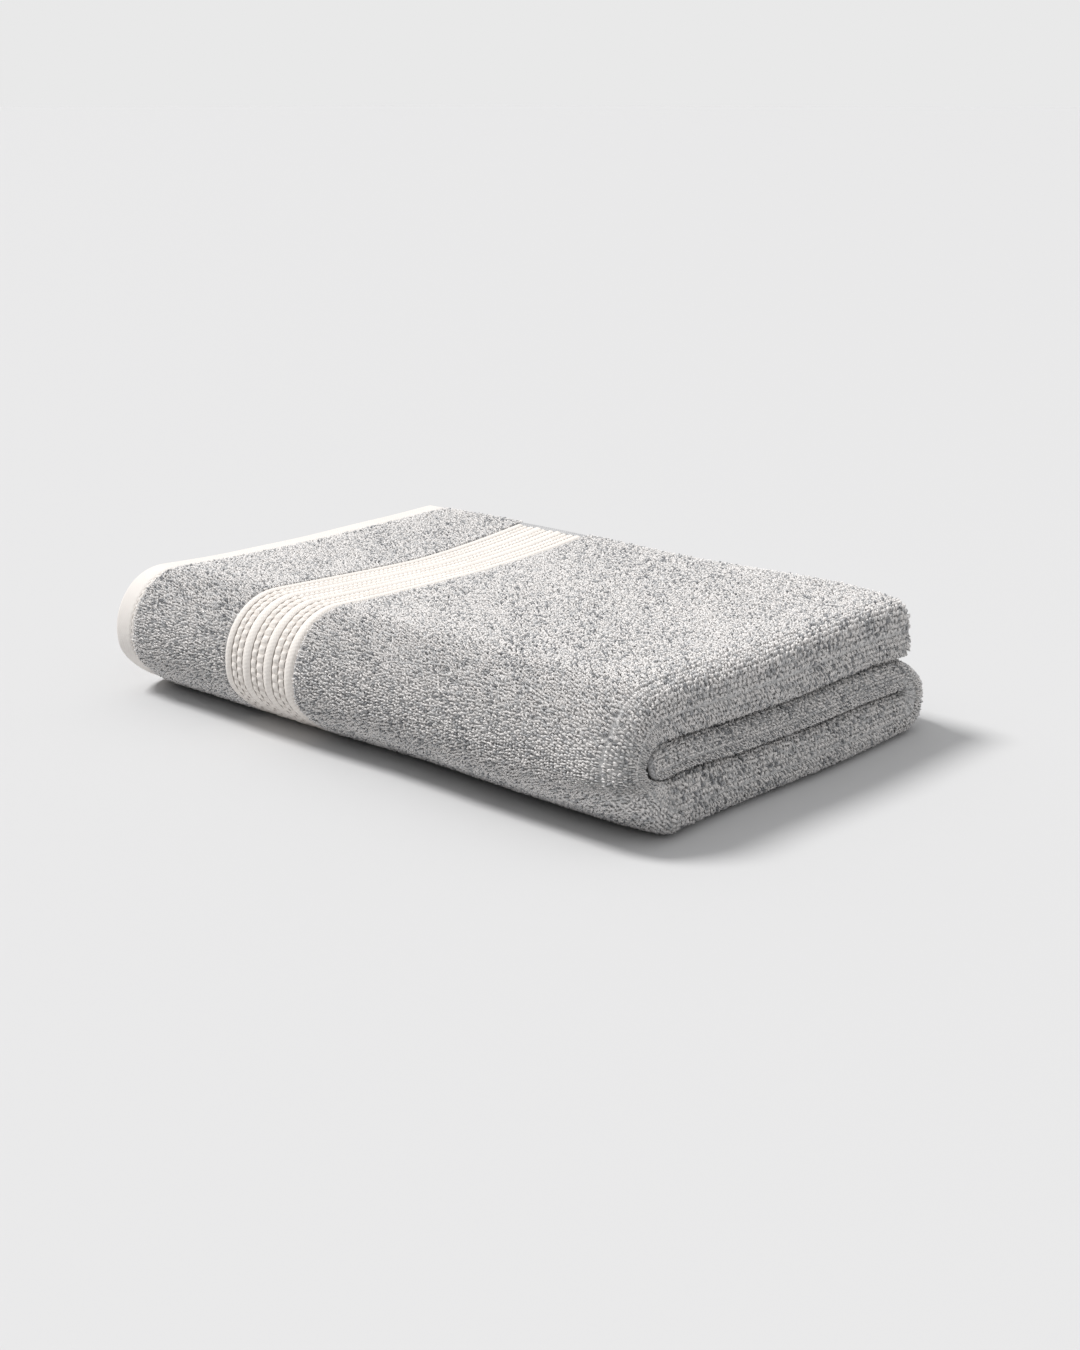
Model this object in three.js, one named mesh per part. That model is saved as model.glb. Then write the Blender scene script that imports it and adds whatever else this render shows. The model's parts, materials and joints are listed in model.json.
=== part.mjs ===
// A terry bath towel, folded in half twice across and then in thirds along: twelve layers.
// Millimetres, +Z up. The folded front edge faces -Y, the cross fold +X, the end hem -X.
// The origin is at the middle of the underside.
import * as THREE from 'three';

// ---- driving dimensions ---------------------------------------------------
const FOLDED_LENGTH = 356;      // along X
const FOLDED_WIDTH = 250;       // along Y
const LAYER = 5.325;            // one thickness of terry, pile included
const LAYER_GAP = 0.3;          // between the layers of one panel
const PANEL_GAP = 0.8;          // between the three panels
const FREE_EDGE_SETBACK = 11;   // top panel's side hem to the back fold
const INNER_EDGE_SETBACK = 32;  // inner panel's side hem to the front fold
const END_HEM = 15;             // width of the turned hem at each end
const END_STRIP = 74;           // terry between end hem and woven border
const BORDER = 52;              // width of the woven border
const HEM_THICKNESS = 3.0;
const BORDER_THICKNESS = 3.6;
const SIDE_HEM = 8;             // width of the hem along each long side
const SIDE_HEM_THICKNESS = 3.4;
const STITCH = 0.8;             // width of a line of stitching
const JOINT_GAP = 0.3;          // between pieces that meet
const FIRST_FOLD_SETBACK = 4;   // the first cross fold to the end hem
const HEM_SETBACK = 2.5;        // the second end's hem to the first's
const FOLD_CUT = THREE.MathUtils.degToRad(0.8); // half the gap at a fold line
const ARC_STEP = THREE.MathUtils.degToRad(15);

// ---- derived --------------------------------------------------------------
const PITCH = LAYER + LAYER_GAP;
const PANEL = 4 * LAYER + 3 * LAYER_GAP;
const HEIGHT = 3 * PANEL + 2 * PANEL_GAP;
const FRONT_R = HEIGHT / 2 - PANEL / 2;             // mid-panel radius, front fold
const BACK_R = (PANEL + PANEL_GAP) / 2;             // mid-panel radius, back fold
const FRONT_Y = -FOLDED_WIDTH / 2 + HEIGHT / 2;     // centre of the front fold
const BACK_Y = FOLDED_WIDTH / 2 - BACK_R - PANEL / 2;
const BACK_Z = PANEL + PANEL_GAP / 2;
const INNER_EDGE_Y = -FOLDED_WIDTH / 2 + INNER_EDGE_SETBACK;
const FREE_EDGE_Y = FOLDED_WIDTH / 2 - FREE_EDGE_SETBACK;

const X0 = -FOLDED_LENGTH / 2;
const OUTER_N = 1.5 * PITCH;                        // mid-offset of the outer layer
const INNER_N = 0.5 * PITCH;                        // and of the layer under it
const NOSE_X = FOLDED_LENGTH / 2 - PANEL / 2;       // centre of the second cross fold
const FIRST_FOLD_X = X0 + FIRST_FOLD_SETBACK + INNER_N + LAYER / 2;
const TUCKED_X = X0 + HEM_SETBACK;                  // the second end, under the first

// ---- the way a panel runs round the two long folds ------------------------
// Stations start at the inner panel's side hem and end at the top panel's.
class FoldPath extends THREE.Curve {
  constructor(stations) { super(); this.stations = stations; this.steps = stations.length - 1; }
  at(u) { return this.stations[Math.round(u * this.steps)]; }
  getPoint(u, target = new THREE.Vector3()) { const s = this.at(u); return target.set(0, s.y, s.z); }
  getPointAt(u, target) { return this.getPoint(u, target); }
  getTangent(u, target = new THREE.Vector3()) { const s = this.at(u); return target.set(0, s.ty, s.tz); }
  getTangentAt(u, target) { return this.getTangent(u, target); }
  getSpacedPoints() { return this.stations.map((s) => new THREE.Vector3(0, s.y, s.z)); }
  computeFrenetFrames() {
    const tangents = this.stations.map((s) => new THREE.Vector3(0, s.ty, s.tz));
    const binormals = tangents.map(() => new THREE.Vector3(1, 0, 0));
    const normals = tangents.map((t) => new THREE.Vector3().crossVectors(binormals[0], t));
    return { tangents, normals, binormals };
  }
}

const straight = (y0, y1, z, dir) => [
  { y: y0, z, ty: dir, tz: 0 }, { y: y1, z, ty: dir, tz: 0 },
];
// a circle round (cy, cz); the angle is that of the outward normal, from +Y towards +Z
function arc(cy, cz, r, a0, a1) {
  const n = Math.max(1, Math.ceil(Math.abs(a1 - a0) / ARC_STEP - 1e-6));
  const list = [];
  for (let i = 0; i <= n; i++) {
    const a = a0 + ((a1 - a0) * i) / n;
    list.push({ y: cy + r * Math.cos(a), z: cz + r * Math.sin(a), ty: Math.sin(a), tz: -Math.cos(a) });
  }
  return list;
}
function join(...runs) {
  const list = [];
  for (const run of runs) for (const s of run) {
    const p = list[list.length - 1];
    if (!p || Math.hypot(p.y - s.y, p.z - s.z) > 1e-6) list.push(s);
  }
  return new FoldPath(list);
}

const D = THREE.MathUtils.degToRad;
const FRONT_Z = HEIGHT / 2;
const LOW_CUT = D(225) + FOLD_CUT;
const MID_LOW = D(225) - FOLD_CUT;
const MID_HIGH = D(135) + FOLD_CUT;
const HIGH_CUT = D(135) - FOLD_CUT;
const TOP_Z = HEIGHT - PANEL / 2;
const SIDE = SIDE_HEM + STITCH + 2 * JOINT_GAP;     // taken by a side hem and its stitching

const basePath = (start) => join(
  straight(INNER_EDGE_Y + start, BACK_Y, BACK_Z + BACK_R, 1),
  arc(BACK_Y, BACK_Z, BACK_R, D(90), D(-90)),
  straight(BACK_Y, FRONT_Y, PANEL / 2, -1),
  arc(FRONT_Y, FRONT_Z, FRONT_R, D(270), LOW_CUT),
);
const frontPath = () => join(arc(FRONT_Y, FRONT_Z, FRONT_R, MID_LOW, MID_HIGH));
const topPath = (stop) => join(
  arc(FRONT_Y, FRONT_Z, FRONT_R, HIGH_CUT, D(90)),
  straight(FRONT_Y, FREE_EDGE_Y - stop, TOP_Z, 1),
);
const innerSidePath = (a, b) => join(straight(INNER_EDGE_Y + a, INNER_EDGE_Y + b, BACK_Z + BACK_R, 1));
const topSidePath = (a, b) => join(straight(FREE_EDGE_Y - b, FREE_EDGE_Y - a, TOP_Z, 1));

// ---- sections across a panel: shape x is the offset outward, shape y is X --
const V = (n, x) => new THREE.Vector2(n, x);
function slab(x0, x1, n, t) {
  return new THREE.Shape([V(n - t / 2, x0), V(n + t / 2, x0), V(n + t / 2, x1), V(n - t / 2, x1)]);
}
// The line of one cloth through a panel: from x0 on the outer layer, round the second cross
// fold, back to the first cross fold, round it, and round the inside of the second cross fold
// to x1 on the layer under the outer one.
function clothLine(x0, x1) {
  const line = [{ x: x0, n: OUTER_N, nx: 0, nn: 1 }];
  const turn = (x, n, r, start, sweep, count, face) => {
    for (let i = 0; i <= count; i++) {
      const a = start + (sweep * i) / count;
      line.push({ x: x + r * Math.sin(a), n: n + r * Math.cos(a), nx: face * Math.sin(a), nn: face * Math.cos(a) });
    }
  };
  turn(NOSE_X, 0, OUTER_N, 0, Math.PI, 10, 1);
  turn(FIRST_FOLD_X, -PITCH, INNER_N, Math.PI, Math.PI, 8, 1);
  turn(NOSE_X, 0, INNER_N, Math.PI, -Math.PI, 8, -1);
  line.push({ x: x1, n: INNER_N, nx: 0, nn: -1 });
  return line;
}
function rolled(x0, x1, t) {
  const h = t / 2;
  const line = clothLine(x0, x1);
  const side = (k) => line.map((p) => V(p.n + k * h * p.nn, p.x + k * h * p.nx));
  return new THREE.Shape([...side(1), ...side(-1).reverse()]);
}

const HEM_X = X0 + END_HEM;
const STRIP_X = HEM_X + STITCH + 2 * JOINT_GAP;
const BORDER_X = STRIP_X + END_STRIP + JOINT_GAP;
const FIELD_X = BORDER_X + BORDER + JOINT_GAP;
const TUCKED_HEM_X = TUCKED_X + END_HEM;
const TUCKED_STRIP_X = TUCKED_HEM_X + STITCH + 2 * JOINT_GAP;
const TUCKED_BORDER_X = TUCKED_STRIP_X + END_STRIP + JOINT_GAP;
const TUCKED_FIELD_X = TUCKED_BORDER_X + BORDER + JOINT_GAP;

const GREY = { color: 0xc3c2c1, roughness: 0.95, metalness: 0 };
const CREAM = { color: 0xf1ebe4, roughness: 0.85, metalness: 0 };
const HEM = { color: 0xece6e0, roughness: 0.9, metalness: 0 };
const THREAD = { color: 0xf5f1ea, roughness: 0.7, metalness: 0 };
const SIDE_HEM_GREY = { color: 0xb4b4b5, roughness: 0.9, metalness: 0 };
const GREY_THREAD = { color: 0xc9c9c9, roughness: 0.7, metalness: 0 };

const sections = {
  end_hem: [slab(X0, HEM_X, OUTER_N, HEM_THICKNESS), HEM],
  end_hem_stitching: [slab(HEM_X + JOINT_GAP, HEM_X + JOINT_GAP + STITCH, OUTER_N, HEM_THICKNESS), THREAD],
  end_strip: [slab(STRIP_X, STRIP_X + END_STRIP, OUTER_N, LAYER), GREY],
  woven_border: [slab(BORDER_X, BORDER_X + BORDER, OUTER_N, BORDER_THICKNESS), CREAM],
  terry_field: [rolled(FIELD_X, TUCKED_FIELD_X, LAYER), GREY],
  tucked_border: [slab(TUCKED_BORDER_X, TUCKED_BORDER_X + BORDER, INNER_N, BORDER_THICKNESS), CREAM],
  tucked_strip: [slab(TUCKED_STRIP_X, TUCKED_STRIP_X + END_STRIP, INNER_N, LAYER), GREY],
  tucked_hem_stitching: [slab(TUCKED_HEM_X + JOINT_GAP, TUCKED_HEM_X + JOINT_GAP + STITCH, INNER_N, HEM_THICKNESS), THREAD],
  tucked_hem: [slab(TUCKED_X, TUCKED_HEM_X, INNER_N, HEM_THICKNESS), HEM],
};

function piece(name, shape, path, look) {
  const geometry = new THREE.ExtrudeGeometry(shape, { steps: path.steps, extrudePath: path, bevelEnabled: false });
  const mesh = new THREE.Mesh(geometry, new THREE.MeshStandardMaterial(look));
  mesh.name = name;
  return mesh;
}

const base = new THREE.Group();
base.name = 'base';
const frontFold = new THREE.Group();
frontFold.name = 'front_fold';
const topFlap = new THREE.Group();
topFlap.name = 'top_flap';

for (const [name, [shape, look]] of Object.entries(sections)) {
  base.add(piece(`base_${name}`, shape, basePath(SIDE), look));
  frontFold.add(piece(`fold_${name}`, shape, frontPath(), look));
  topFlap.add(piece(`flap_${name}`, shape, topPath(SIDE), look));
}
const sideSection = rolled(X0, TUCKED_X, SIDE_HEM_THICKNESS);
base.add(piece('base_side_hem', sideSection, innerSidePath(0, SIDE_HEM), SIDE_HEM_GREY));
base.add(piece('base_side_hem_stitching', sideSection,
  innerSidePath(SIDE_HEM + JOINT_GAP, SIDE_HEM + JOINT_GAP + STITCH), GREY_THREAD));
topFlap.add(piece('flap_side_hem', sideSection, topSidePath(0, SIDE_HEM), SIDE_HEM_GREY));
topFlap.add(piece('flap_side_hem_stitching', sideSection,
  topSidePath(SIDE_HEM + JOINT_GAP, SIDE_HEM + JOINT_GAP + STITCH), GREY_THREAD));

const towel = new THREE.Group();
towel.name = 'bath_towel';
towel.add(base, frontFold, topFlap);

export default towel;
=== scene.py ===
# The looks of a folded terry bath towel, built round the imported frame.
import bpy, math, json
import numpy as np
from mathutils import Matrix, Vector


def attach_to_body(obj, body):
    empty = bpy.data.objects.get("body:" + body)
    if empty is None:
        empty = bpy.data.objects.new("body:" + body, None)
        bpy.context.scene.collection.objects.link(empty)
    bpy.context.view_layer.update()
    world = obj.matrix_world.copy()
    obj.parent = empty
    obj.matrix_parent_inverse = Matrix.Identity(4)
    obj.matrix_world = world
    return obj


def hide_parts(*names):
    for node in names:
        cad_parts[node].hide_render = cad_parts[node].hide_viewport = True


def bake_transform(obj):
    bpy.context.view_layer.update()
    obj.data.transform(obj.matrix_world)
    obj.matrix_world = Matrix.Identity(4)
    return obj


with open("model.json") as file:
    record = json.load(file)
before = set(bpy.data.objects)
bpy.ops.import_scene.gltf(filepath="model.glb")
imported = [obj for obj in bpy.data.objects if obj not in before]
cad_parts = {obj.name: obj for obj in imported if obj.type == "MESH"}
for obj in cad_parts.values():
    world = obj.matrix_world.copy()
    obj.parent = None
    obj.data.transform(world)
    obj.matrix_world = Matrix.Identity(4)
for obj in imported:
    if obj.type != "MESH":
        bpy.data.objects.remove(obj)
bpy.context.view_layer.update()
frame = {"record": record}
rng = np.random.default_rng(7)

# ---------------------------------------------------------------- dimensions, mm
FL, FW, LAYER, LGAP, PGAP = 356.0, 250.0, 5.325, 0.3, 0.8
PITCH = LAYER + LGAP
PANEL = 4 * LAYER + 3 * LGAP
H = 3 * PANEL + 2 * PGAP
FRONT_R, BACK_R = H / 2 - PANEL / 2, (PANEL + PGAP) / 2
FRONT_Y, FRONT_Z = -FW / 2 + H / 2, H / 2
BACK_Y, BACK_Z = FW / 2 - BACK_R - PANEL / 2, PANEL + PGAP / 2
IN_Y, FREE_Y = -FW / 2 + 32.0, FW / 2 - 11.0
X0 = -FL / 2
ON, IN = 1.5 * PITCH, 0.5 * PITCH
NOSE_X = FL / 2 - PANEL / 2
TURN_X = X0 + 4.0 + IN + LAYER / 2
TUCK_X = X0 + 2.5
# along the towel's length (u) and its width (s)
LA = NOSE_X - X0
U1 = LA + math.pi * ON
U2 = U1 + (NOSE_X - TURN_X)
U3 = U2 + math.pi * IN
U4 = U3 + (NOSE_X - TURN_X)
U5 = U4 + math.pi * IN
U6 = U5 + (NOSE_X - TUCK_X)
S1 = BACK_Y - IN_Y
S2 = S1 + math.pi * BACK_R
S3 = S2 + (BACK_Y - FRONT_Y)
S4 = S3 + math.pi * FRONT_R
S5 = S4 + (FREE_Y - FRONT_Y)
SM = (S3 + S4) / 2
END_HEM, STRIP, BORDER = 15.0, 74.0, 52.0
UB0 = END_HEM + 1.4 + STRIP + 0.3
UB1 = UB0 + BORDER
HALF = 1.1                       # half of the ground cloth's thickness


def section(u):
    """x, offset from the panel's middle, and the cloth's outer normal in that plane."""
    u = np.asarray(u, float)
    x = np.empty_like(u); n = np.empty_like(u); nx = np.zeros_like(u); nn = np.empty_like(u)
    a = u <= LA
    x[a] = X0 + u[a]; n[a] = ON; nn[a] = 1
    a = (u > LA) & (u <= U1)
    t = (u[a] - LA) / ON
    x[a] = NOSE_X + ON * np.sin(t); n[a] = ON * np.cos(t); nx[a] = np.sin(t); nn[a] = np.cos(t)
    a = (u > U1) & (u <= U2)
    x[a] = NOSE_X - (u[a] - U1); n[a] = -ON; nn[a] = -1
    a = (u > U2) & (u <= U3)
    t = (u[a] - U2) / IN
    x[a] = TURN_X - IN * np.sin(t); n[a] = -PITCH - IN * np.cos(t); nx[a] = -np.sin(t); nn[a] = -np.cos(t)
    a = (u > U3) & (u <= U4)
    x[a] = TURN_X + (u[a] - U3); n[a] = -IN; nn[a] = 1
    a = (u > U4) & (u <= U5)
    t = (u[a] - U4) / IN
    x[a] = NOSE_X + IN * np.sin(t); n[a] = -IN * np.cos(t); nx[a] = -np.sin(t); nn[a] = np.cos(t)
    a = u > U5
    x[a] = NOSE_X - (u[a] - U5); n[a] = IN; nn[a] = -1
    return x, n, nx, nn


def fold(s):
    """y, z of the panel's middle, and its outward normal."""
    s = np.asarray(s, float)
    y = np.empty_like(s); z = np.empty_like(s); oy = np.zeros_like(s); oz = np.empty_like(s)
    a = s <= S1
    y[a] = IN_Y + s[a]; z[a] = BACK_Z + BACK_R; oz[a] = 1
    a = (s > S1) & (s <= S2)
    t = math.pi / 2 - (s[a] - S1) / BACK_R
    y[a] = BACK_Y + BACK_R * np.cos(t); z[a] = BACK_Z + BACK_R * np.sin(t); oy[a] = np.cos(t); oz[a] = np.sin(t)
    a = (s > S2) & (s <= S3)
    y[a] = BACK_Y - (s[a] - S2); z[a] = PANEL / 2; oz[a] = -1
    a = (s > S3) & (s <= S4)
    t = 1.5 * math.pi - (s[a] - S3) / FRONT_R
    y[a] = FRONT_Y + FRONT_R * np.cos(t); z[a] = FRONT_Z + FRONT_R * np.sin(t); oy[a] = np.cos(t); oz[a] = np.sin(t)
    a = s > S4
    y[a] = FRONT_Y + (s[a] - S4); z[a] = H - PANEL / 2; oz[a] = 1
    return y, z, oy, oz


def smooth(t):
    t = np.clip(t, 0, 1)
    return t * t * (3 - 2 * t)


_w = np.random.default_rng(21)
_waves = [(_w.uniform(0.008, 0.03) * _w.choice([-1, 1]), _w.uniform(0.008, 0.034), _w.uniform(0, 6.28), _w.uniform(0.5, 1)) for _ in range(9)]


def undulate(x, y):
    v = np.zeros_like(x)
    for kx, ky, p, a in _waves:
        v += a * np.sin(kx * x + ky * y + p)
    return v / 4.2


NOSE_Z = np.array([-5.0, 0.0, 8.0, 18.0, 28.0, 40.0, 56.0, 75.0])
NOSE_OUT = np.array([6.0, 6.5, 7.5, 5.5, 3.4, 1.0, -1.0, -1.5])
CREASE_Z = np.array([-9.0, 0.0, 11.0, 22.6, 34.0, 45.6, 56.0, 68.2, 80.0])
CREASE_DOWN = np.array([0.0, 0.0, -1.2, -2.6, -6.0, -9.4, -5.6, 0.0, 0.0])
PINCH_DOWN = np.array([0.0, 0.0, 2.0, 4.3, -3.0, -5.4, -3.4, 0.0, 0.0])
PINCH_Y = np.array([-125.0, -75.0, -35.0, 60.0, 105.0, 125.0])
PINCH = np.array([1.0, 1.0, 0.5, 0.45, 0.2, 0.1])


def settle(x, y, z):
    """The slack of real cloth: gentle waves, softened corners and an uneven cross fold."""
    up = np.clip(z / H, 0, 1.1)
    pinch = np.interp(y, PINCH_Y, PINCH)
    right = smooth((x - (FL / 2 - 55)) / 55)
    tip = smooth((x - (FL / 2 - 30)) / 30)
    left = smooth((X0 + 50 - x) / 50)
    front = smooth((-y - (FW / 2 - 50)) / 50)
    back = smooth((y - (FW / 2 - 50)) / 50)
    across = np.clip((y + FW / 2 - 15) / (FW - 30), 0, 1)
    z2 = z + up * (1.4 * undulate(x * 1.2, y * 1.2)) - up * 1.6 * right * front - up * 1.6 * right * back \
        - up * 2.6 * np.sin(np.pi * across) * smooth((20 - x) / 130) - up * 1.2 * left \
        - up ** 3 * 2.4 * tip ** 2 * (1 - smooth((y + 50) / 120)) \
        + ((1 - pinch) * np.interp(z, CREASE_Z, CREASE_DOWN) + pinch * np.interp(z, CREASE_Z, PINCH_DOWN)) * right
    low = smooth((26 - z) / 26)
    y2 = y + front * (1.0 * np.sin(x * 0.021 + 0.6) + 0.7 * np.sin(x * 0.047 + z * 0.03)) \
        + front * 6.0 * tip ** 2 - back * 4.0 * tip ** 2 \
        + front * low * (5.0 + 4.0 * smooth((x + 120) / 160)) \
        + back * (1.0 * np.sin(x * 0.025 + z * 0.05 + 2.0))
    x2 = x + tip * np.interp(z, NOSE_Z, NOSE_OUT) \
        + right * (1.1 * np.sin(y * 0.04 + z * 0.02) + 0.7 * np.sin(z * 0.13 + y * 0.013 + 1.0)) \
        + left * (0.8 * np.sin(y * 0.03 + 0.4))
    return x2, y2, z2


SKEW_S = np.array([0.0, S1, S3, 0.5 * (S3 + S4), S4, 0.5 * (S4 + S5), S4 + 0.8 * (S5 - S4), S5])
SKEW = np.array([0.0, 0.0, 3.0, 5.0, 5.0, 4.5, -2.0, -8.0])


def skew(u, s):
    """The weave's slight skew in the outer layer: the border runs a little off square."""
    u = np.asarray(u, float)
    return u + np.interp(s, SKEW_S, SKEW) * smooth(u / 80) * smooth((LA - u) / 170)


BLUNT = 3.0                      # how square the cross fold's nose is; 2 is a half circle
POCKET = PANEL / 2 + 0.1         # the inner panel's free edge rounds into the front fold


def place(u, s, w):
    x, n, nx, nn = section(skew(u, s))
    y, z, oy, oz = fold(s)
    x = x + w * nx
    n = n + w * nn
    dx = np.maximum(x - NOSE_X, 0)
    rho = np.maximum(np.hypot(dx, n), 1e-6)
    k = ((dx / rho) ** BLUNT + np.abs(n / rho) ** BLUNT) ** (-1 / BLUNT)
    k = np.where(dx > 0, k, 1.0)
    x = np.where(dx > 0, NOSE_X + dx * k, x)
    n = n * k
    y = y + n * oy
    z = z + n * oz
    near = smooth((34.0 - s) / 34.0)
    y = y - near * (IN_Y - FRONT_Y + np.sqrt(np.maximum(POCKET ** 2 - np.minimum(np.abs(n), POCKET - 0.4) ** 2, 0)))
    x, y, z = settle(x, y, z)
    return np.stack([x, y, z], -1) * 0.001


def grow_u(u, w):
    """Real length along u per unit of u, at height w."""
    g = np.ones_like(u)
    a = (u > LA) & (u <= U1); g[a] = (ON + w) / ON
    a = (u > U2) & (u <= U3); g[a] = (IN + w) / IN
    return g


def grow_s(u, s, w):
    x, n, nx, nn = section(u)
    m = n + w * nn
    g = np.ones_like(s)
    a = (s > S1) & (s <= S2); g[a] = ((BACK_R + m) / BACK_R)[a]
    a = (s > S3) & (s <= S4); g[a] = ((FRONT_R + m) / FRONT_R)[a]
    return np.maximum(g, 0.2)


# ---------------------------------------------------------------- mesh helpers
def make_mesh(name, verts, quads, mats, mat_index=None, uv=None, smooth_shade=True):
    me = bpy.data.meshes.new(name)
    me.vertices.add(len(verts))
    me.vertices.foreach_set("co", np.ascontiguousarray(verts, np.float32).ravel())
    nq = len(quads)
    me.loops.add(nq * 4)
    me.loops.foreach_set("vertex_index", np.ascontiguousarray(quads, np.int32).ravel())
    me.polygons.add(nq)
    me.polygons.foreach_set("loop_start", np.arange(0, nq * 4, 4, dtype=np.int32))
    for m in mats:
        me.materials.append(m)
    if mat_index is not None:
        me.polygons.foreach_set("material_index", np.ascontiguousarray(mat_index, np.int32))
    me.update(calc_edges=True)
    me.validate(verbose=False)
    if uv is not None:
        layer = me.uv_layers.new(name="cloth")
        layer.data.foreach_set("uv", np.ascontiguousarray(uv[quads.ravel()], np.float32).ravel())
    if smooth_shade:
        me.polygons.foreach_set("use_smooth", np.ones(nq, bool))
    ob = bpy.data.objects.new(name, me)
    bpy.context.scene.collection.objects.link(ob)
    return ob


def grid_quads(nu, ns, base=0, flip=False):
    i = np.arange(nu - 1)[:, None] * ns + np.arange(ns - 1)[None, :]
    i = i.ravel() + base
    q = np.stack([i, i + ns, i + ns + 1, i + 1], -1)
    return q[:, ::-1] if flip else q


def slab(name, us, ss, top, bottom, mats, top_index=None, crisp=True):
    """A closed cloth between two height fields over the u, s grid."""
    us, ss = np.asarray(us, float), np.asarray(ss, float)
    nu, ns = len(us), len(ss)
    U, S = np.meshgrid(us, ss, indexing="ij")
    wt = np.broadcast_to(top(U, S), U.shape)
    wb = np.broadcast_to(bottom(U, S), U.shape)
    vt = place(U.ravel(), S.ravel(), wt.ravel())
    vb = place(U.ravel(), S.ravel(), wb.ravel())
    N = nu * ns
    qt = grid_quads(nu, ns, 0, True)
    qb = grid_quads(nu, ns, N, False)
    idx = np.arange(N).reshape(nu, ns)
    ring = np.concatenate([idx[:, 0], idx[-1, 1:], idx[-2::-1, -1], idx[0, -2:0:-1]])
    nxt = np.roll(ring, -1)
    verts = [vt, vb]
    uv = np.stack([U.ravel(), S.ravel()], -1) * 0.001
    uvs = [uv, uv]
    if crisp:
        # the rim has its own vertices, so that neighbouring lengths meet without a line
        m = len(ring)
        k = np.arange(m)
        k2 = np.roll(k, -1)
        walls = np.stack([2 * N + k, 2 * N + k2, 2 * N + m + k2, 2 * N + m + k], -1)
        verts += [vt[ring], vb[ring]]
        uvs += [uv[ring], uv[ring]]
    else:
        walls = np.stack([ring, nxt, nxt + N, ring + N], -1)
    quads = np.concatenate([qt, qb, walls])
    index = None
    if top_index is not None:
        index = np.zeros(len(quads), np.int32)
        index[:len(qt)] = top_index(0.5 * (us[1:] + us[:-1])[:, None] + 0 * ss[None, 1:], 0.5 * (ss[1:] + ss[:-1])[None, :] + 0 * us[1:, None]).ravel()
    return make_mesh(name, np.concatenate(verts), quads, mats, index, np.concatenate(uvs))


def face_out(ob):
    """Turns a closed mesh's faces outward."""
    me = ob.data
    me.calc_loop_triangles()
    n = len(me.vertices)
    co = np.empty(n * 3, np.float32); me.vertices.foreach_get("co", co); co = co.reshape(-1, 3).astype(float)
    tri = np.empty(len(me.loop_triangles) * 3, np.int32); me.loop_triangles.foreach_get("vertices", tri); tri = tri.reshape(-1, 3)
    c = co.mean(0)
    a, b, d = co[tri[:, 0]] - c, co[tri[:, 1]] - c, co[tri[:, 2]] - c
    vol = np.einsum("ij,ij->i", a, np.cross(b, d)).sum() / 6
    if vol < 0:
        me.flip_normals()
    return vol


# ---------------------------------------------------------------- materials
def principled(name, colour, rough=0.95, sheen=0.0, sheen_rough=0.5, sheen_tint=(1, 1, 1)):
    m = bpy.data.materials.new(name)
    m.use_nodes = True
    b = m.node_tree.nodes["Principled BSDF"]
    b.inputs["Base Color"].default_value = (*colour, 1)
    b.inputs["Roughness"].default_value = rough
    b.inputs["Specular IOR Level"].default_value = 0.15
    b.inputs["Sheen Weight"].default_value = sheen
    b.inputs["Sheen Roughness"].default_value = sheen_rough
    b.inputs["Sheen Tint"].default_value = (*sheen_tint, 1)
    return m, m.node_tree, b


def node(nt, kind, **values):
    n = nt.nodes.new(kind)
    for k, v in values.items():
        if hasattr(n, k):
            setattr(n, k, v)
        else:
            n.inputs[k].default_value = v
    return n


YARN = [
    ("yarn_pale", (0.905, 0.882, 0.868), 0.43),
    ("yarn_light", (0.83, 0.815, 0.805), 0.28),
    ("yarn_mid", (0.66, 0.66, 0.665), 0.17),
    ("yarn_dark", (0.455, 0.46, 0.47), 0.09),
    ("yarn_slate", (0.30, 0.305, 0.32), 0.03),
]
yarn_mats = [principled(n, c, 0.97, 0.25, 0.4)[0] for n, c, p in YARN]
yarn_share = np.array([p for _, _, p in YARN])


def cloth_coords(nt, scale):
    uvn = node(nt, "ShaderNodeUVMap"); uvn.uv_map = "cloth"
    mp = node(nt, "ShaderNodeMapping")
    mp.inputs["Scale"].default_value = scale
    nt.links.new(uvn.outputs["UV"], mp.inputs["Vector"])
    return mp.outputs["Vector"]


def heather_ground():
    m, nt, b = principled("heather_ground", (0.3, 0.3, 0.31), 0.98, 0.1)
    v = cloth_coords(nt, (1, 1, 1))
    n1 = node(nt, "ShaderNodeTexNoise"); n1.inputs["Scale"].default_value = 700; n1.inputs["Detail"].default_value = 3
    nt.links.new(v, n1.inputs["Vector"])
    r = node(nt, "ShaderNodeValToRGB")
    r.color_ramp.elements[0].position = 0.36; r.color_ramp.elements[0].color = (0.42, 0.42, 0.425, 1)
    r.color_ramp.elements[1].position = 0.62; r.color_ramp.elements[1].color = (0.78, 0.775, 0.77, 1)
    nt.links.new(n1.outputs["Fac"], r.inputs["Fac"])
    nt.links.new(r.outputs["Color"], b.inputs["Base Color"])
    bump = node(nt, "ShaderNodeBump"); bump.inputs["Strength"].default_value = 0.7; bump.inputs["Distance"].default_value = 0.0006
    nt.links.new(n1.outputs["Fac"], bump.inputs["Height"])
    nt.links.new(bump.outputs["Normal"], b.inputs["Normal"])
    return m


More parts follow.
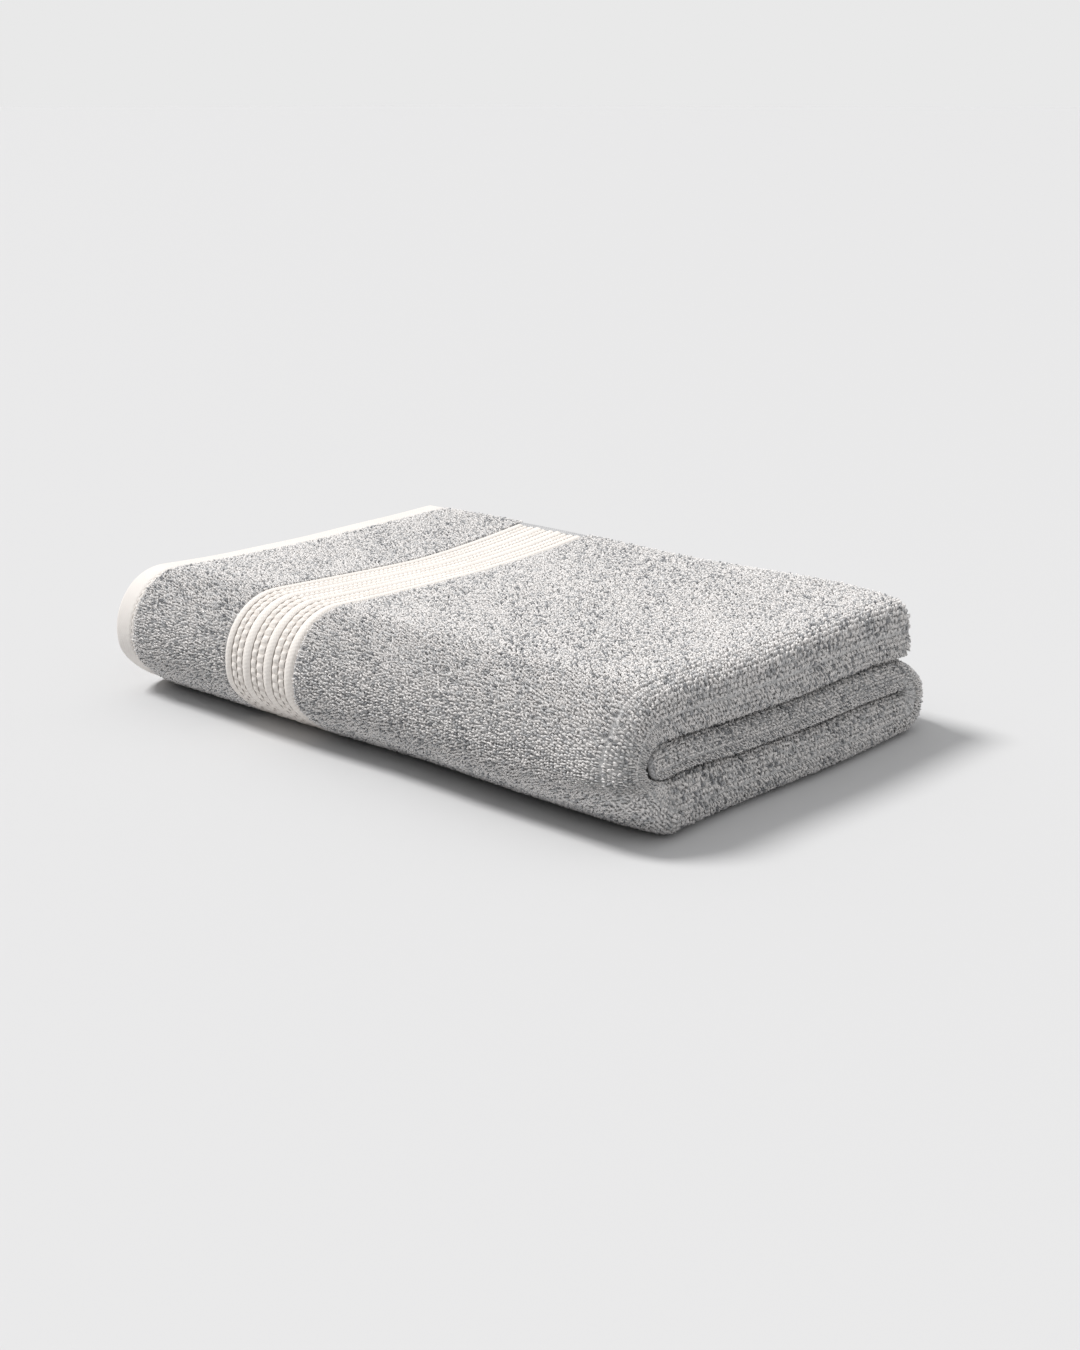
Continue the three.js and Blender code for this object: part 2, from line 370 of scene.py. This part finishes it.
def woven(name, light, dark, pitch_u, pitch_s, bump_mm, sheen=0.2, twill=0.0):
    """A plain or twill weave of yarns pitch_u and pitch_s millimetres apart."""
    m, nt, b = principled(name, light, 0.88, sheen, 0.45)
    uvn = node(nt, "ShaderNodeUVMap"); uvn.uv_map = "cloth"
    sep = node(nt, "ShaderNodeSeparateXYZ")
    nt.links.new(uvn.outputs["UV"], sep.inputs[0])

    def maths(op, a, c=None):
        n = node(nt, "ShaderNodeMath"); n.operation = op
        for i, val in enumerate((a, c)):
            if val is None:
                continue
            if isinstance(val, (int, float)):
                n.inputs[i].default_value = val
            else:
                nt.links.new(val, n.inputs[i])
        return n.outputs[0]
    warp = maths("MULTIPLY", sep.outputs[0], 1000 * math.pi / pitch_u)
    weft = maths("MULTIPLY", sep.outputs[1], 1000 * math.pi / pitch_s)
    if twill:
        weft = maths("ADD", weft, maths("MULTIPLY", warp, twill))
    checker = maths("MULTIPLY", maths("SINE", warp), maths("SINE", weft))
    height = maths("ADD", maths("MULTIPLY", checker, 0.5), 0.5)
    no = node(nt, "ShaderNodeTexNoise"); no.inputs["Scale"].default_value = 260; no.inputs["Detail"].default_value = 4
    nt.links.new(uvn.outputs["UV"], no.inputs["Vector"])
    no2 = node(nt, "ShaderNodeTexNoise"); no2.inputs["Scale"].default_value = 22; no2.inputs["Detail"].default_value = 2
    nt.links.new(uvn.outputs["UV"], no2.inputs["Vector"])
    f = maths("ADD", maths("MULTIPLY", height, 0.45), maths("MULTIPLY", no.outputs["Fac"], 0.4))
    f = maths("ADD", f, maths("MULTIPLY", no2.outputs["Fac"], 0.3))
    r = node(nt, "ShaderNodeValToRGB")
    r.color_ramp.elements[0].position = 0.25; r.color_ramp.elements[0].color = (*dark, 1)
    r.color_ramp.elements[1].position = 0.75; r.color_ramp.elements[1].color = (*light, 1)
    nt.links.new(f, r.inputs["Fac"])
    nt.links.new(r.outputs["Color"], b.inputs["Base Color"])
    bump = node(nt, "ShaderNodeBump"); bump.inputs["Strength"].default_value = 0.45; bump.inputs["Distance"].default_value = bump_mm * 0.001
    nt.links.new(maths("ADD", height, maths("MULTIPLY", no.outputs["Fac"], 0.6)), bump.inputs["Height"])
    nt.links.new(bump.outputs["Normal"], b.inputs["Normal"])
    return m


ground_mat = heather_ground()
border_mat = woven("cream_border", (0.95, 0.905, 0.86), (0.83, 0.775, 0.725), 0.9, 0.7, 0.22, 0.2, twill=0.6)
hem_mat = woven("cream_hem", (0.87, 0.835, 0.80), (0.77, 0.725, 0.69), 0.8, 0.8, 0.2, 0.2)
side_mat = woven("grey_side_hem", (0.60, 0.60, 0.605), (0.24, 0.24, 0.25), 0.8, 0.8, 0.25, 0.2)
# painted shade: darker creams for the grooves between the border's ribs and for the valleys between a narrow rib's
# beads
groove_shade_mat = principled("cream_groove_painted_shade", (0.38, 0.345, 0.315), 0.95, 0.1)[0]
bead_gap_shade_mat = principled("cream_bead_gap_painted_shade", (0.74, 0.69, 0.645), 0.95, 0.1)[0]
plain_cream_mat = principled("cream_plain", (0.85, 0.80, 0.75), 0.9, 0.1)[0]
thread_mat = woven("cream_thread", (0.93, 0.89, 0.84), (0.80, 0.75, 0.70), 0.5, 0.5, 0.1, 0.2)
grey_thread_mat = woven("grey_thread", (0.72, 0.72, 0.72), (0.5, 0.5, 0.5), 0.5, 0.5, 0.1, 0.2)

# ---------------------------------------------------------------- bodies along the fold
SEGMENTS = [("base", 0.0, S3), ("lower", S3, SM), ("upper", SM, S4), ("flap", S4, S5)]


def attach(ob, seg):
    if seg == "base":
        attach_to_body(ob, "base")
    elif seg == "flap":
        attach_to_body(ob, "top_flap")
    elif seg == "lower":
        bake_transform(ob)
    else:
        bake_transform(ob)


def stations(lo, hi, straight, arc, marks):
    """Samples of [lo, hi] no further apart than straight, or arc inside the marked ranges."""
    out = [lo]
    cuts = sorted({lo, hi, *[c for m in marks for c in m if lo < c < hi]})
    for a, b in zip(cuts[:-1], cuts[1:]):
        step = arc if any(m[0] <= a and b <= m[1] for m in marks) else straight
        n = max(1, int(math.ceil((b - a) / step)))
        out += list(np.linspace(a, b, n + 1)[1:])
    return np.array(out)


ARCS_S = [(S1, S2), (S3, S4)]
ARCS_U = [(LA, U1), (U2, U3), (U4, U5)]
SIDE = 8.0


def s_range(a, b, straight, arc):
    return stations(a, b, straight, arc, ARCS_S)


parts = {seg: [] for seg, _, _ in SEGMENTS}

# ---- the ground cloth: one sheet from hem to hem
core = {}
for seg, a, b in SEGMENTS:
    a2, b2 = (1.0 if a == 0 else a), (S5 - 1.0 if b == S5 else b)
    us = stations(1.0, U6 - 1.0, 6.0, 1.1, ARCS_U)
    ss = s_range(a2, b2, 6.0, 2.4)
    ob = slab(f"towel_cloth_{seg}", us, ss, lambda U, S: HALF, lambda U, S: -HALF, [ground_mat], crisp=False)
    face_out(ob)
    core[seg] = ob

# ---- the woven border
RIBS = [(58, "w"), (45, "n"), (47, "n"), (73, "w"), (45, "n"), (55, "n"), (70, "w"), (50, "n"), (45, "n"), (70, "w")]
_tot = sum(r[0] for r in RIBS)
_edges = np.cumsum([0] + [r[0] for r in RIBS]) / _tot * BORDER


BEAD = 3.3


def rib_stations():
    out = [0.0]
    for lo, hi in zip(_edges[:-1], _edges[1:]):
        n = max(3, int(round((hi - lo - 0.8) / (0.75))))
        out += list(np.linspace(lo + 0.4, hi - 0.4, n + 1)) + [hi]
    return np.array(out)


def rib_height(U, S, u0):
    d = U - u0
    h = np.full(U.shape, 0.0)
    for i, (wd, kind) in enumerate(RIBS):
        lo, hi = _edges[i], _edges[i + 1]
        m = (d >= lo) & (d <= hi)
        t = (d[m] - lo) / (hi - lo)
        prof = np.power(np.clip(np.sin(np.pi * t), 0, 1), 0.6)
        if kind == "w":
            h[m] = 1.45 * prof * (1 + 0.05 * np.sin(S[m] * 2 * math.pi / 2.1 + i * 1.7 + d[m] * 1.6))
        else:
            bead = 0.5 + 0.5 * np.cos(S[m] * 2 * math.pi / BEAD + i * 2.1)
            h[m] = prof * (0.6 + 0.85 * bead)
    return h


def rib_painted_shade(U, S, u0):
    """Which colour a face gets: 0 the rib, 1 painted shade in the grooves between ribs, in dashes on a rib's near side,
    2 painted shade in the valleys between a narrow rib's beads.
    """
    d = U - u0
    tone = np.zeros(U.shape, np.int32)
    for i, (wd, kind) in enumerate(RIBS):
        lo, hi = _edges[i], _edges[i + 1]
        m = (d >= lo) & (d <= hi)
        # the grooves' painted shade is broken into dashes along the border
        dash = np.cos(S * 2 * math.pi / BEAD + (i if kind == "n" else i + 1) * 2.1) < 0.35
        if 0 < i:
            tone[m & (d - lo < 0.4) & dash] = 1
        if i < len(RIBS) - 1:
            tone[m & (hi - d < 0.4)] = 1
        if kind == "n":
            between = np.cos(S * 2 * math.pi / BEAD + i * 2.1) < -0.72
            tone[m & between] = 2
    return tone


def border_piece(name, a, b, u0, mats):
    ds = 0.82
    us = u0 + rib_stations()
    ss = s_range(a, b, ds, ds * 0.75)

    def top(U, S):
        edge = smooth(np.minimum(np.abs(U - us[0]), np.abs(us[-1] - U)) / 0.8)
        return 0.9 + edge * (0.3 + rib_height(U, S, u0))

    # the top faces take painted shade in the grooves and between the beads
    ob = slab(name, us, ss, top, lambda U, S: -1.7 + 0 * U, mats, lambda U, S: rib_painted_shade(U, S, u0))
    face_out(ob)
    return ob


for seg, a, b in SEGMENTS:
    a2, b2 = (SIDE + 0.6 if a == 0 else a), (S5 - SIDE - 0.6 if b == S5 else b)
    parts[seg].append(border_piece(f"woven_border_{seg}", a2, b2, UB0, [border_mat, groove_shade_mat, bead_gap_shade_mat]))
    # the second border, folded away inside the towel
    ob = slab(f"tucked_border_{seg}", U6 - UB1 + (_edges * 1.0), s_range(a2, b2, 8.0, 3.0),
              lambda U, S: 1.6 + 0 * U, lambda U, S: -1.6 + 0 * U, [plain_cream_mat])
    face_out(ob)
    parts[seg].append(ob)

# ---- the end hems and the side hems
HEM_H = 1.62


def round_edge(d, r, h):
    t = np.clip(d / r, 0, 1)
    return h * np.sqrt(np.clip(1 - (1 - t) ** 2, 0, 1))


HEM_D = np.concatenate([[0, 0.12, 0.4, 0.8, 1.3], np.linspace(2.0, 11.8, 10), [12.4, 12.9, 13.4, 13.9, 14.5, 15.0, 15.4]])


def hem_height(d, S):
    puck = 0.18 * np.cos(S * 2 * math.pi / 2.9) * np.exp(-((d - 12.4) / 2.2) ** 2)
    dip = 0.5 * np.exp(-((d - 13.3) / 0.7) ** 2)
    h = HEM_H + 0.12 * np.sin(S * 0.09 + 1)
    return 0.05 + round_edge(d, 1.9, h) + puck - dip - 0.5 * smooth((d - 14.4) / 1.0)


for seg, a, b in SEGMENTS:
    a2, b2 = (0.3 if a == 0 else a), (S5 - 0.3 if b == S5 else b)
    ss = s_range(a2, b2, 1.5, 1.0)
    ob = slab(f"end_hem_{seg}", HEM_D, ss, lambda U, S: hem_height(U, S), lambda U, S: -hem_height(U, S), [hem_mat])
    face_out(ob)
    parts[seg].append(ob)
    ob = slab(f"tucked_hem_{seg}", (U6 - HEM_D)[::-1], ss, lambda U, S: hem_height(U6 - U, S), lambda U, S: -hem_height(U6 - U, S), [hem_mat])
    face_out(ob)
    parts[seg].append(ob)

side_hems = {}
for seg, inner in (("base", True), ("flap", False)):
    d = np.array([0, 0.12, 0.4, 0.85, 1.5, 2.4, 3.6, 4.8, 5.8, 6.4, 6.9, 7.4, 8.0])
    ss = d if inner else (S5 - d)[::-1]
    us = stations(15.0, U6 - 15.0, 3.2, 0.9, ARCS_U)

    def side_top(U, S, inner=inner):
        dd = S if inner else S5 - S
        puck = 0.13 * np.cos(U * 2 * math.pi / 2.9) * np.exp(-((dd - 6.2) / 1.6) ** 2)
        return 0.05 + round_edge(dd, 1.7, 1.5) + puck - 0.4 * np.exp(-((dd - 6.6) / 0.6) ** 2) - 0.5 * smooth((dd - 7.2) / 0.8)

    ob = slab(f"side_hem_{seg}", us, ss, side_top, lambda U, S: -side_top(U, S), [side_mat])
    face_out(ob)
    parts[seg].append(ob)
    side_hems[seg] = ob


# ---- small tubes along short runs: loops of pile and stitches of thread
def tubes(name, u, s, w, ru, rs, mats, mat_index=None, sides=3):
    """u, s, w are (count, rings) centre lines in cloth coordinates; ru and rs are radii across and up."""
    cnt, rings = u.shape
    g_u = grow_u(u.ravel(), 2.2).reshape(u.shape)
    g_s = grow_s(u.ravel(), s.ravel(), 2.2).reshape(u.shape)
    du = np.gradient(u, axis=1) * g_u
    ds = np.gradient(s, axis=1) * g_s
    L = np.sqrt(du ** 2 + ds ** 2) + 1e-9
    # across the run, in the cloth's plane
    cu, cs = -ds / L, du / L
    verts_u, verts_s, verts_w = [], [], []
    for k in range(sides):
        a = 2 * math.pi * k / sides + math.pi / 2
        verts_u.append(u + cu * rs * math.cos(a) / g_u)
        verts_s.append(s + cs * rs * math.cos(a) / g_s)
        verts_w.append(w + ru * math.sin(a))
    vu = np.stack(verts_u, -1).ravel(); vs = np.stack(verts_s, -1).ravel(); vw = np.stack(verts_w, -1).ravel()
    verts = place(vu, vs, vw)
    uv = np.stack([vu, vs], -1) * 0.001
    k = np.arange(sides)
    r = np.arange(rings - 1)
    q = np.stack([r[:, None] * sides + k, (r[:, None] + 1) * sides + k, (r[:, None] + 1) * sides + (k + 1) % sides, r[:, None] * sides + (k + 1) % sides], -1).reshape(-1, 4)
    caps = []
    if sides == 4:
        caps = [[0, 1, 2, 3], [(rings - 1) * 4 + 3, (rings - 1) * 4 + 2, (rings - 1) * 4 + 1, (rings - 1) * 4]]
        q = np.concatenate([q, np.array(caps)])
    quads = (np.arange(cnt)[:, None, None] * rings * sides + q[None]).reshape(-1, 4)
    mi = None if mat_index is None else np.repeat(mat_index, len(q))
    return make_mesh(name, verts, quads[:, ::-1], mats, mi, uv)


ROW_U, ROW_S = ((1.95, 1.45))
SIZE = ROW_S / 1.45


def tone_field(x, y):
    """Slow drifts in the heather's mix, from -1 to 1."""
    return (np.sin(x * 0.045 + 1.3 * np.sin(y * 0.021)) + np.sin(y * 0.055 + x * 0.017 + 2.0) + np.sin((x + y) * 0.12 + 0.5)) / 3


def lattice(u_lo, u_hi, s_lo, s_hi, face=1, open_out=1.0):
    """Loop centres in rows across the cloth, spaced evenly on its outer side."""
    us = [u_lo + 0.5 * ROW_U]
    while us[-1] < u_hi:
        g = grow_u(np.array([us[-1]]), 2.2)[0]
        us.append(us[-1] + ROW_U / g)
    us = np.array(us[:-1])
    um = np.array([0.5 * (u_lo + u_hi)])
    ss = [s_lo + 0.5 * ROW_S]
    while ss[-1] < s_hi:
        g = grow_s(um, np.array([ss[-1]]), 2.2)[0]
        in_wrap = S3 < ss[-1] <= S4
        ss.append(ss[-1] + ROW_S / g / (open_out if in_wrap else 1.0))
    ss = np.array(ss[:-1])
    U, S = np.meshgrid(us, ss, indexing="ij")
    narrow = np.ones_like(U)
    if open_out > 1:
        narrow[:, (ss > S3) & (ss <= S4)] = 1 / open_out
    S = S + (np.arange(len(us))[:, None] % 2) * 0.5 * ROW_S * narrow
    keep = (U > u_lo) & (U < u_hi) & (S < s_hi)
    return U[keep], S[keep], narrow[keep]


def pile(u, s, narrow):
    """Centre lines and radii for loops at these places."""
    n = len(u)
    k = ROW_U / 1.95
    ju = rng.normal(0, 0.13, n) * k
    js = rng.normal(0, 0.14, n) * narrow * k
    length = rng.uniform(1.6, 2.4, n) * k
    d = np.minimum(s, S5 - s)
    height = rng.uniform(0.85, 1.45, n) * (1 - 0.25 * smooth((9.0 - d) / 2.0))
    twist = rng.normal(0, 0.45, n)
    lean = rng.normal(0, 0.30, n) * narrow * k
    surge = rng.normal(0, 0.26, n) * k
    gu = grow_u(u, 2.2); gs = grow_s(u, s, 2.2)
    t = np.array([-1.0, -0.5, 0.5, 1.0])
    hh = np.array([-0.5, 1.0, 1.0, -0.5])
    root = HALF + (1.45 - HALF) * smooth((8.0 - d) / 0.8) - 1.45 * (1 - np.sqrt(np.clip(1 - (1 - np.clip(d / 1.7, 0, 1)) ** 2, 0, 1)))
    along = t[None] * length[:, None] / 2 * np.cos(twist)[:, None] + (hh[None] > 0.9) * surge[:, None]
    across = t[None] * length[:, None] / 2 * np.sin(twist)[:, None] * narrow[:, None] + np.clip(hh, 0, 1)[None] * lean[:, None]
    uu = u[:, None] + (ju[:, None] + along) / gu[:, None]
    sv = s[:, None] + (js[:, None] + across) / gs[:, None]
    tilt = rng.normal(0, 0.12, n)
    ww = root[:, None] + hh[None] * height[:, None] + t[None] * tilt[:, None]
    fat = rng.uniform(0.46, 0.60, n)[:, None] * np.array([0.75, 1.05, 1.05, 0.75])[None] * SIZE
    share = np.cumsum(yarn_share / yarn_share.sum())
    drift = -tone_field(u, s) * 0.10 + rng.random(n)
    tone = np.searchsorted(share, np.clip(drift, 0, 0.9999))
    return uu, sv, ww, fat * 0.9, fat * narrow[:, None], tone


def add_pile(label, u, s, narrow):
    """Splits the loops by body and by count, and builds them."""
    for seg, a, b in SEGMENTS:
        m = (s >= a) & (s < b)
        if not m.any():
            continue
        uu, ss, nn = u[m], s[m], narrow[m]
        order = np.argsort(uu, kind="stable")
        uu, ss, nn = uu[order], ss[order], nn[order]
        chunks = max(1, math.ceil(len(uu) / 10600))
        for i, idx in enumerate(np.array_split(np.arange(len(uu)), chunks)):
            cu, cs, cw, ru, rs, tone = pile(uu[idx], ss[idx], nn[idx])
            name = f"pile_{label}_{seg}" + (f"_{i + 1}" if chunks > 1 else "")
            parts[seg].append(tubes(name, cu, cs, cw, ru, rs, yarn_mats, tone))


SA, SB = 0.8, S5 - 0.8
add_pile("strip", *lattice(END_HEM + 0.6, UB0 - 0.4, SA, SB))
add_pile("field", *lattice(UB1 + 0.4, LA, SA, SB))
U_HALF = LA + 0.5 * math.pi * ON
add_pile("cross_fold", *lattice(LA, U_HALF, SA, SB))
add_pile("cross_fold_under", *lattice(U_HALF, U1 + 9.0, SA, SB, open_out=2.0))
add_pile("underside", *lattice(U1 + 9.0, U2 - 8.0, S3 - 1.0, SB, open_out=2.7))
add_pile("inner_fold", *lattice(U2 - 8.0, U3 + 7.0, SA, SB))


# ---- stitching
def stitch_row(name, fixed, lo, hi, along_u, w, mat, pitch=2.9, off=0.0):
    c = np.arange(lo + pitch * 0.5, hi - pitch * 0.4, pitch)
    t = np.array([-0.5, -0.36, 0.0, 0.36, 0.5]) * pitch * 0.86
    run = c[:, None] + t[None]
    fix = np.full_like(run, fixed) + rng.normal(0, 0.05, len(c))[:, None]
    ww = np.array([-0.5, 0.0, 0.12, 0.0, -0.5])[None] + w + 0 * run
    r = np.full_like(run, 0.26)
    u, s = (run, fix) if along_u else (fix, run)
    return tubes(name, u, s, ww, r, r, [mat], None, sides=4)


for seg, a, b in SEGMENTS:
    a2, b2 = (4.0 if a == 0 else a), (S5 - 4.0 if b == S5 else b)
    parts[seg].append(stitch_row(f"end_hem_stitching_{seg}", 13.3, a2, b2, False, 1.3, thread_mat))
parts["base"].append(stitch_row("side_hem_stitching_base", 6.6, 17.0, U6 - 17, True, 1.4, grey_thread_mat))
parts["flap"].append(stitch_row("side_hem_stitching_flap", S5 - 6.6, 17.0, U6 - 17, True, 1.4, grey_thread_mat))

# ---------------------------------------------------------------- what rides on what
for seg, ob in core.items():
    attach(ob, seg)
    for p in parts[seg]:
        attach(p, seg)

BODY_NODES = frame["record"]["behaviour"]["bodies"]
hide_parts(*BODY_NODES["base"])
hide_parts(*BODY_NODES["front_fold"])
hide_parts(*BODY_NODES["front_fold"])
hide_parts(*BODY_NODES["top_flap"])

# ---------------------------------------------------------------- stage, light and camera
floor_me = bpy.data.meshes.new("floor")
R = 60.0
floor_me.from_pydata([(-R, -R, 0), (R, -R, 0), (R, R, 0), (-R, R, 0)], [], [(0, 1, 2, 3)])
floor = bpy.data.objects.new("floor", floor_me)
bpy.context.scene.collection.objects.link(floor)
fm, fnt, fb = principled("pale_floor", (0.62, 0.622, 0.628), 0.9)
floor_me.materials.append(fm)
floor.location.z = -0.0004

world = bpy.data.worlds.new("studio")
bpy.context.scene.world = world
world.use_nodes = True
wn = world.node_tree
bg = wn.nodes["Background"]
tc = wn.nodes.new("ShaderNodeTexCoord")
AZ, EL, DIST, KF = 42.53, 17.0, 1.00, 1.888
a, e = math.radians(AZ), math.radians(EL)
right_dir = np.array([math.cos(a), math.sin(a), 0])
away = np.array([-math.sin(a), math.cos(a), 0])


def studio_dot(v):
    n = wn.nodes.new("ShaderNodeVectorMath")
    n.operation = "DOT_PRODUCT"
    wn.links.new(tc.outputs["Generated"], n.inputs[0])
    n.inputs[1].default_value = tuple(v)
    return n.outputs["Value"]


def studio_ramp(value, stops):
    r = wn.nodes.new("ShaderNodeMapRange")
    r.interpolation_type = "SMOOTHSTEP"
    (a0, v0), (a1, v1) = stops
    r.inputs["From Min"].default_value, r.inputs["From Max"].default_value = a0, a1
    r.inputs["To Min"].default_value, r.inputs["To Max"].default_value = v0, v1
    wn.links.new(value, r.inputs["Value"])
    return r.outputs["Result"]


def studio_math(op, *values):
    n = wn.nodes.new("ShaderNodeMath")
    n.operation = op
    for i, v in enumerate(values):
        if isinstance(v, (int, float)):
            n.inputs[i].default_value = v
        else:
            wn.links.new(v, n.inputs[i])
    return n.outputs[0]


# a bright backdrop low behind the towel, a soft ceiling, and less light from the front
BACKDROP, CEILING, SIDE_ON, FRONT_ON = 0.8148, 0.74, 0.42, 0.09
behind = studio_ramp(studio_dot(away), [(0.35, 0.0), (0.75, 1.0)])
facing = studio_ramp(studio_dot((-0.35, -0.94, 0)), [(-0.2, SIDE_ON), (0.9, FRONT_ON)])
height = studio_dot((0, 0, 1))
walls = studio_math("ADD", studio_math("MULTIPLY", facing, studio_ramp(height, [(0.25, 1.0), (0.8, 0.0)])),
                    studio_math("MULTIPLY", CEILING, studio_ramp(height, [(0.25, 0.0), (0.8, 1.0)])))
low_behind = studio_math("MULTIPLY", behind, studio_ramp(height, [(0.10, 1.0), (0.22, 0.0)]))
total = studio_math("ADD", studio_math("MULTIPLY", BACKDROP, low_behind),
                    studio_math("MULTIPLY", walls, studio_math("SUBTRACT", 1.0, low_behind)))
wn.links.new(total, bg.inputs["Color"])
bg.inputs["Strength"].default_value = 1.0


def sun(name, direction, energy, angle, colour=(1, 1, 1)):
    d = bpy.data.lights.new(name, "SUN")
    d.energy, d.angle, d.color = energy, math.radians(angle), colour
    o = bpy.data.objects.new(name, d)
    bpy.context.scene.collection.objects.link(o)
    o.rotation_mode = "QUATERNION"
    o.rotation_quaternion = Vector(direction).to_track_quat("Z", "Y")
    return o


L = -right_dir * 1.0 + away * 0.42
L = L / np.linalg.norm(L)
lel = math.radians(53)
sun("key", (L[0] * math.cos(lel), L[1] * math.cos(lel), math.sin(lel)), 2.78, 17, (1.0, 0.99, 0.98))

cam_data = bpy.data.cameras.new("camera")
cam = bpy.data.objects.new("camera", cam_data)
bpy.context.scene.collection.objects.link(cam)
bpy.context.scene.camera = cam
back_dir = np.array([math.sin(a) * math.cos(e), -math.cos(a) * math.cos(e), math.sin(e)])
up_dir = np.array([-math.sin(a) * math.sin(e), math.cos(a) * math.sin(e), math.cos(e)])
SHIFT_R, SHIFT_U = 0.0157, -0.0165
target = np.array([0, 0, 0.034]) + right_dir * SHIFT_R + up_dir * SHIFT_U
cam.location = Vector(target + back_dir * DIST)
cam.rotation_mode = "QUATERNION"
cam.rotation_quaternion = Vector(-back_dir).to_track_quat("-Z", "Y")
cam_data.sensor_fit = "AUTO"
cam_data.sensor_width = 36.0
cam_data.lens = 36.0 * (KF * DIST * 1000) / 1350.0
cam_data.clip_start, cam_data.clip_end = 0.05, 300

sc = bpy.context.scene
sc.view_settings.view_transform = "Standard"
sc.view_settings.look = "None"
sc.view_settings.exposure = 0.0
sc.view_settings.gamma = 1.0

bpy.context.view_layer.update()
